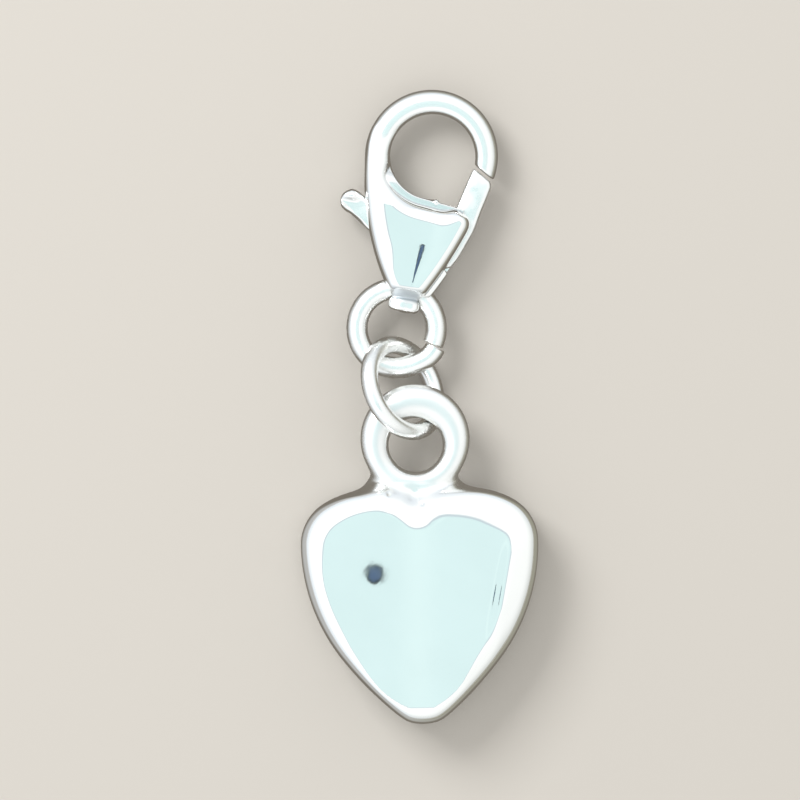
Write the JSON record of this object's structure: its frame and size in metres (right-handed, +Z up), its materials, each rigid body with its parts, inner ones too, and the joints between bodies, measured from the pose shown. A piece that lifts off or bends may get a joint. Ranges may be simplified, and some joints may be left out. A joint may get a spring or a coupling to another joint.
{
  "type": "clip-on heart charm",
  "caption": "Puffed heart charm with a soldered bail ring, a chain of jump rings and a lobster clasp whose sprung lever opens the hook.",
  "frame": {"origin": "middle of the charm's footprint, on the surface that it lies on", "axes": "+Y from the heart's point to the clasp's hook, +X to the right seen from above, +Z up from the surface, out of the heart's face"},
  "size_m": [0.0112, 0.03, 0.0041],
  "materials": {
    "silver": "polished sterling silver",
    "lever_silver": "polished sterling silver with a slightly grainy flat arm"
  },
  "bodies": {
    "charm": {"heart": "silver", "link_ring": "silver", "clasp_ring": "silver", "clasp_body": "silver", "pivot_pin": "silver"},
    "lever": {"lever": "lever_silver"}
  },
  "joints": [
    {"name": "lever_hinge", "type": "hinge", "parent": "charm", "child": "lever", "pos_m": [0.00123, 0.00804, 0.0014], "axis": [0, 0, 1], "range_deg": [0, 28], "stiffness_Nm_per_rad": 0.002, "springref_deg": -17.19}
  ]
}
